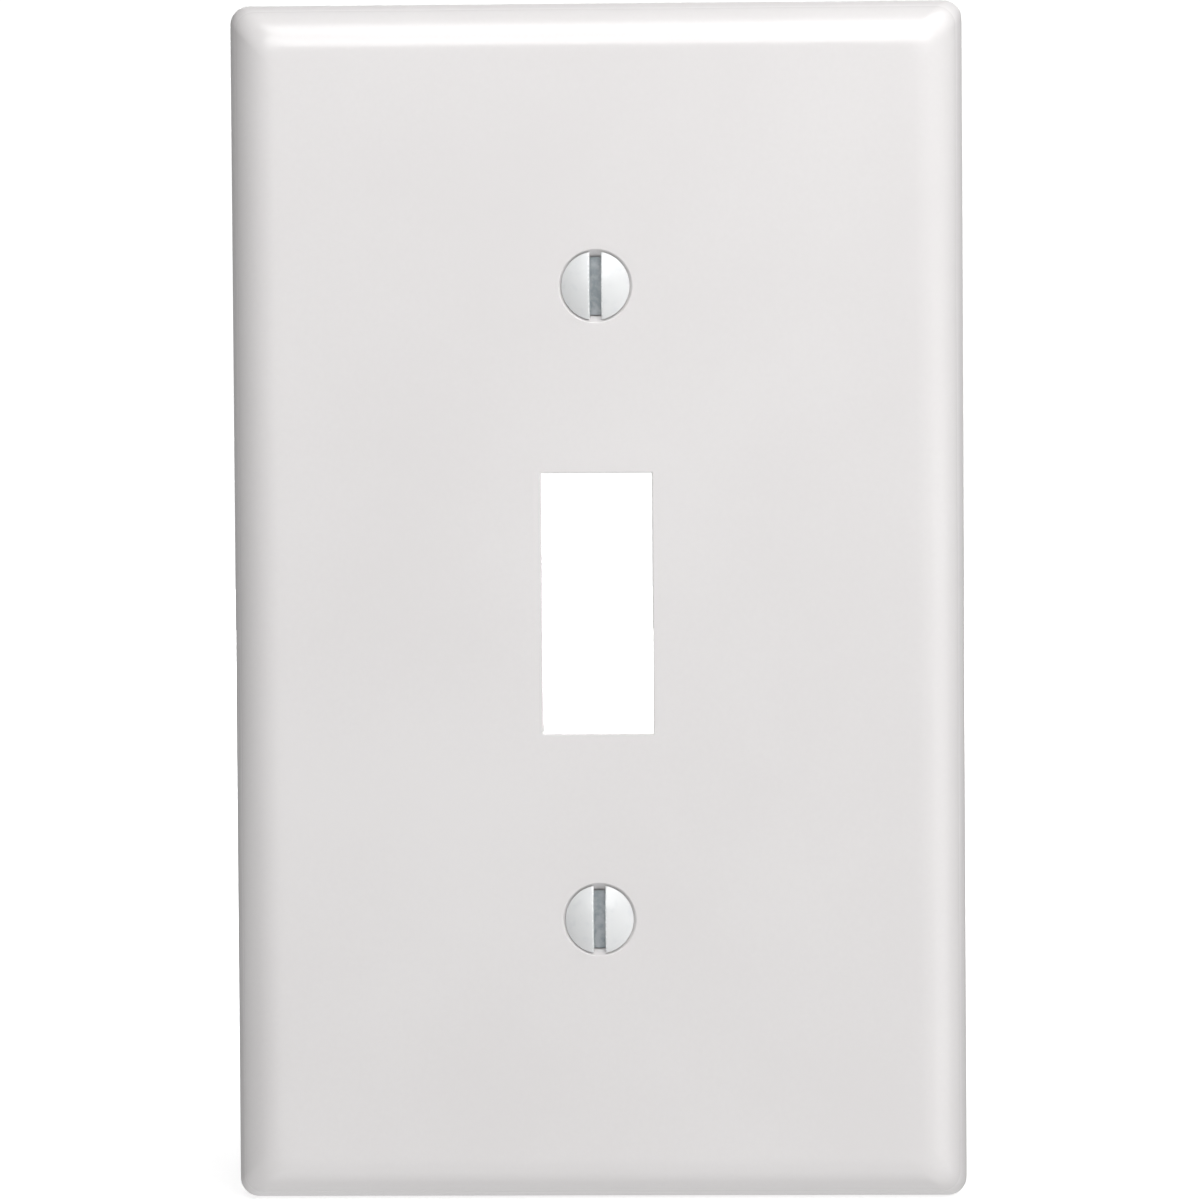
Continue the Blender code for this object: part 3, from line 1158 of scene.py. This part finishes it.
@dataclass(frozen=True)
class Softbox:
    """A rectangular light that faces the object, seen only in what it lights."""

    name: str
    azimuth: float
    elevation: float
    width: float
    height: float
    power: float
    distance: float = 1.0
    mirrored: bool = True

    def build(self) -> None:
        """Hang the light."""
        data = bpy.data.lights.new(self.name, "AREA")
        data.shape = "RECTANGLE"
        data.size = self.width
        data.size_y = self.height
        data.energy = self.power
        lamp = bpy.data.objects.new(self.name, data)
        away = heading(self.azimuth, self.elevation)
        lamp.location = away * self.distance
        lamp.rotation_euler = (-away).to_track_quat("-Z", "Y").to_euler()
        lamp.visible_camera = False
        lamp.visible_glossy = self.mirrored
        bpy.context.scene.collection.objects.link(lamp)


@dataclass
class Studio:
    """The floor, the lights, the white surroundings and the camera."""

    floor_height: float
    floor_size: float = 6.0
    distance: float = 596.0 * MM
    lens: float = 186.2
    azimuth: float = 2.1
    elevation: float = 2.3
    roll: float = 0.39
    aim: Vector = field(default_factory=lambda: Vector((0.03 * MM, 0.0, 0.09 * MM)))
    lights: tuple[Softbox, ...] = (
        Softbox("key_above", 4.0, 51.0, 0.75, 0.56, 2.7),
        Softbox("key_lower_part", 3.0, 27.0, 0.95, 0.3, 3.75),
        Softbox("near_above_right", 50.0, 45.0, 0.3, 0.3, 0.475, 0.4),
        Softbox("near_above", 20.0, 60.0, 0.4, 0.25, 0.55, 0.45),
        Softbox("near_below_right", 60.0, -20.0, 0.3, 0.4, 0.33, 0.45),
        Softbox("near_below", 10.0, -40.0, 0.5, 0.4, 0.315, 0.5),
        Softbox("bounce_below", 10.0, -62.0, 1.2, 0.5, 1.2),
        Softbox("behind", 180.0, 8.0, 0.55, 0.5, 5.5, 1.2),
        Softbox("behind_wide", 180.0, 10.0, 1.4, 1.2, 8.0, 1.5, mirrored=False),
        Softbox("low_left", -97.0, -30.0, 0.3, 0.3, 0.13, 0.35),
    )
    backdrop: float = 1.1
    glows: tuple[tuple[Vector, float], ...] = (
        (Vector((0.0, 0.0, -1.0)), 0.65),
        (Vector((1.0, 0.0, 0.0)), 0.055),
        (Vector((0.0, 1.0, 0.0)), 0.3),
    )

    def _floor(self) -> None:
        """Lay the floor just under the object."""
        shape = bmesh.new()
        bmesh.ops.create_grid(shape, x_segments=8, y_segments=8, size=self.floor_size / 2.0)
        mesh = bpy.data.meshes.new("floor")
        shape.to_mesh(mesh)
        shape.free()
        mesh.materials.append(StudioFloor().material())
        floor = bpy.data.objects.new("floor", mesh)
        floor.location.z = self.floor_height
        floor.visible_diffuse = False
        floor.visible_glossy = False
        floor.visible_shadow = False
        bpy.context.scene.collection.objects.link(floor)

    def _world(self) -> None:
        """Surround the object with white for the eye and a dimmer, uneven light for its surfaces."""
        world = bpy.data.worlds.new("surroundings")
        world.use_nodes = True
        graph = Graph(world.node_tree)
        seen = graph.wire("ShaderNodeLightPath", output="Is Camera Ray")
        white = graph.wire("ShaderNodeBackground", None, {"Color": grey(1.0), "Strength": self.backdrop})
        way = graph.wire("ShaderNodeTexCoord", output="Generated")
        glow = 0.0
        for axis, strength in self.glows:
            facing = graph.wire(
                "ShaderNodeVectorMath", {"operation": "DOT_PRODUCT"}, {0: way, 1: axis}, "Value"
            )
            glow = facing.at_least(0.0) * strength + glow
        dim = graph.wire("ShaderNodeBackground", None, {"Color": grey(1.0), "Strength": glow})
        mixed = graph.wire("ShaderNodeMixShader", None, {0: seen, 1: dim, 2: white})
        graph.node("ShaderNodeOutputWorld", None, {"Surface": mixed})
        bpy.context.scene.world = world

    def _camera(self) -> None:
        """Set the camera in front of the plate, a little above it and to its right."""
        data = bpy.data.cameras.new("camera")
        data.lens = self.lens
        data.sensor_width = 36.0
        data.clip_start = 0.01
        data.clip_end = 20.0
        camera = bpy.data.objects.new("camera", data)
        away = heading(self.azimuth, self.elevation)
        tilt = Quaternion((0.0, 0.0, 1.0), math.radians(-self.roll))
        facing = (-away).to_track_quat("-Z", "Y") @ tilt
        camera.location = self.aim + away * self.distance
        camera.rotation_euler = facing.to_euler()
        bpy.context.scene.collection.objects.link(camera)
        bpy.context.scene.camera = camera

    def build(self) -> None:
        """Build the surroundings, the lights and the camera."""
        self._floor()
        self._world()
        for light in self.lights:
            light.build()
        self._camera()
        bpy.context.scene.view_settings.view_transform = "Standard"
        bpy.context.scene.view_settings.look = "None"


def main() -> None:
    """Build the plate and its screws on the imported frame, then the studio."""
    logging.basicConfig(level=logging.INFO, format="%(name)s: %(message)s")
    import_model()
    plastic = MouldedPlastic().material()
    paint = PaintedScrew().material()
    sweep = outline_sweep()
    thread = helical_thread()
    low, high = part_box("cover_plate")
    heights = {}
    for side in Side:
        screw_low, screw_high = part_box(side.node)
        heights[side] = (screw_low[2] + screw_high[2]) / 2.0
    plate = CoverPlate(
        high[0] - low[0], high[2] - low[2], high[1] - low[1], list(heights.values()), plastic, sweep
    )
    plate.build()
    LOG.info("plate built")
    for side, height in heights.items():
        OvalHeadScrew(side, plate.front, height, paint, sweep, thread).build()
        LOG.info("%s built", side.node)
    Studio(low[2] - 0.05 * MM).build()
    LOG.info("studio built")


if __name__ == "__main__":
    main()
